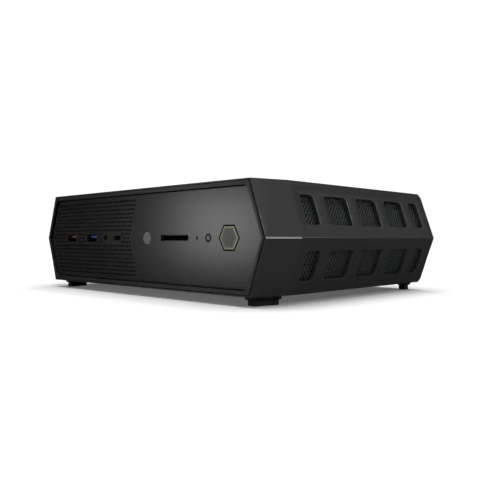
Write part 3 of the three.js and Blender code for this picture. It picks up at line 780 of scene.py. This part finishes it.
def make_rear_sockets():
    """Two stacks of two USB sockets, the USB-C one and the three for screens."""
    finishes = ["steel", "tongue_blue", "gold"]
    for number in (1, 2):
        node = "usb_stack_rear_%d" % number
        make_socket(node, (14.0, 7.6), (12.5, 5.1), 0.35, (11.2, 1.9, 1.15), 4, 1, finishes, (-3.9, 3.9))
    finishes = ["steel", "black", "gold"]
    make_socket("usb_c_port_rear", (9.6, 4.0), (8.4, 2.7), 1.3, (6.7, 0.75, 0), 6, 1, finishes)
    make_socket("hdmi_port", (15.2, 5.8), (14.0, 4.5), 0.9, (11.5, 1.2, 0.2), 9, 1, finishes)
    for number in (1, 2):
        node = "display_port_%d" % number
        make_socket(node, (16.8, 6.0), (15.8, 4.8), 0.5, (12.5, 1.2, 0.2), 9, 1, finishes)


# ---- shells and vented covers ----
def piece_from_node(node, name, finish):
    """A new piece with a CAD node's own shape, its flat triangles joined, to be worked on further."""
    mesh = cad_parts[node].data.copy()
    mesh.materials.clear()
    piece = new_piece(name, mesh, finish)
    join_flat_faces(piece)
    applied(piece)
    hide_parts(node)
    return piece


def make_side_shells():
    """The side shells with slightly glossier edges, whose lighter tone is a painted highlight. The corners
    of their inner ledges stay behind the drawn-in skin of the nose."""
    for side, word in ((1, "right"), (-1, "left")):
        finishes = ["shell", "shell_edge"]
        piece = piece_from_node("side_shell_" + word, "side_casing_" + word, finishes)
        for vertex in piece.data.vertices:
            x, y, z = vertex.co
            drawn_in = NOSE_INSET * max(0, NOSE_END - y) / (NOSE_END - FRONT)
            skin = HALF_WIDTH - drawn_in - LEAN * abs(z - MID)
            vertex.co.x = side * min(side * x, skin)
        bevel = add_bevel(piece, 0.25, angle=33, segments=3)
        bevel.use_clamp_overlap = False
        bevel.material = 1


def add_upright_prism(shape, outline, z0, z1):
    """Adds an outline in X and Y, drawn up from z0 to z1."""
    low = [shape.verts.new((x, y, z0)) for x, y in outline]
    high = [shape.verts.new((x, y, z1)) for x, y in outline]
    shape.faces.new(list(reversed(low)))
    shape.faces.new(high)
    for i in range(len(outline)):
        j = (i + 1) % len(outline)
        shape.faces.new((low[i], low[j], high[j], high[i]))


HEXAGON_RATIO = 0.866  # half a hexagon's width across its flats, as a part of its corner radius


def inside_hexagon(x, y, reach):
    """Whether a point lies within a hexagon of that flat-to-flat half width, corners left and right."""
    return abs(y) < reach and abs(x) * HEXAGON_RATIO + abs(y) * 0.5 < reach


def make_top_cover():
    """The cover with a hexagonal field of six-sided holes over each fan."""
    piece = piece_from_node("top_cover", "vented_top_cover", "shell")
    low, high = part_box("top_cover")
    fan_low, fan_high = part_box("fan_rotor_right")
    fan_x, fan_y = (fan_low[0] + fan_high[0]) / 2, (fan_low[1] + fan_high[1]) / 2
    pitch = 5.2 * MM
    field_reach = 31 * MM
    hole_radius = 2.1 * MM
    cutter = bmesh.new()
    for side in (-1, 1):
        for row in range(-8, 9):
            for column in range(-8, 9):
                x = (column + 0.5 * (row % 2)) * pitch
                y = row * pitch * HEXAGON_RATIO
                if inside_hexagon(x, y, field_reach):
                    hole = hexagon(side * fan_x + x, fan_y + y, hole_radius)
                    add_upright_prism(cutter, hole, low[2] - 10 * MM, high[2] + MM)
    carve(piece, cutter)
    add_bevel(piece, 0.22)


def make_bottom_cover():
    """The underside with two rows of slots."""
    piece = piece_from_node("bottom_cover", "vented_bottom_cover", "shell")
    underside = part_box("bottom_cover")[0][2]
    slot_x, slot_pitch = 40 * MM, 5.6 * MM
    slot_length, slot_width, slot_radius = 48 * MM, 2.4 * MM, 1.15 * MM
    cutter = bmesh.new()
    for side in (-1, 1):
        for row in range(-7, 8):
            slot = rounded_rectangle(side * slot_x, row * slot_pitch, slot_length, slot_width, slot_radius)
            add_upright_prism(cutter, slot, underside - MM, underside + 4 * MM)
    carve(piece, cutter)
    add_bevel(piece, 0.2)


# ---- run ----
bpy.context.scene.view_settings.view_transform = "Standard"
make_camera()
make_lights()
make_world()
make_stage()
paint_cad_nodes()
make_grille()
make_power_button()
make_light_rings()
make_ridge_strips()
make_side_meshes()
make_front_sockets()
make_rear_sockets()
make_top_cover()
make_bottom_cover()
make_side_shells()
soften("front_bezel", 0.25, angle=33)
soften("front_fascia", 0.18, angle=33)
soften("hex_badge", 0.25)
for foot in ("front_left", "front_right", "rear_left", "rear_right"):
    soften("foot_" + foot, 0.5)
